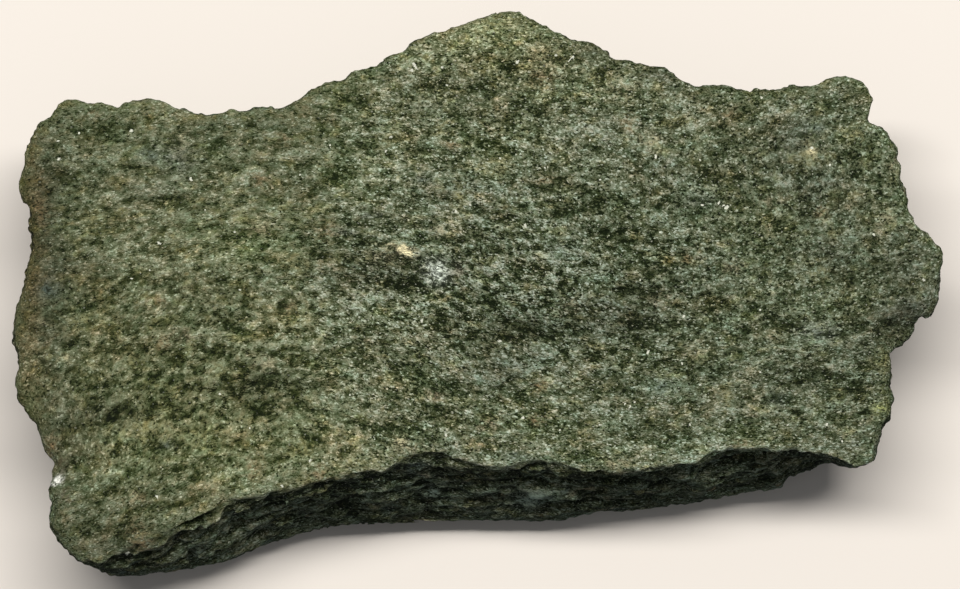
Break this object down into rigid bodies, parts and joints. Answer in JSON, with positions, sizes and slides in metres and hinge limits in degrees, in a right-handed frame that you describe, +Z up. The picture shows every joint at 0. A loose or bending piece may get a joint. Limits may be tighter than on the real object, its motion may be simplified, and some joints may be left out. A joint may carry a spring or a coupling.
{
  "type": "greenstone hand specimen",
  "caption": "Broken slab of foliated grey-green metabasalt with a flat split face, a steep ledged flank and a peaked edge, lying on a small flat of its back.",
  "frame": {"origin": "middle of the bounding box in plan, on the plane that the stone rests on", "axes": "+X along the stone's long side, from the square left end to the thin right end; +Y from the steep ledged flank towards the peaked edge; +Z up out of the split face"},
  "size_m": [0.1164, 0.0708, 0.0218],
  "materials": {
    "greenstone": "rough broken rock, fine grained, mottled grey-green with buff and dark chlorite streaks, nearly matt with tiny mica and feldspar glints"
  },
  "bodies": {
    "root": {"greenstone": "greenstone"}
  },
  "joints": []
}
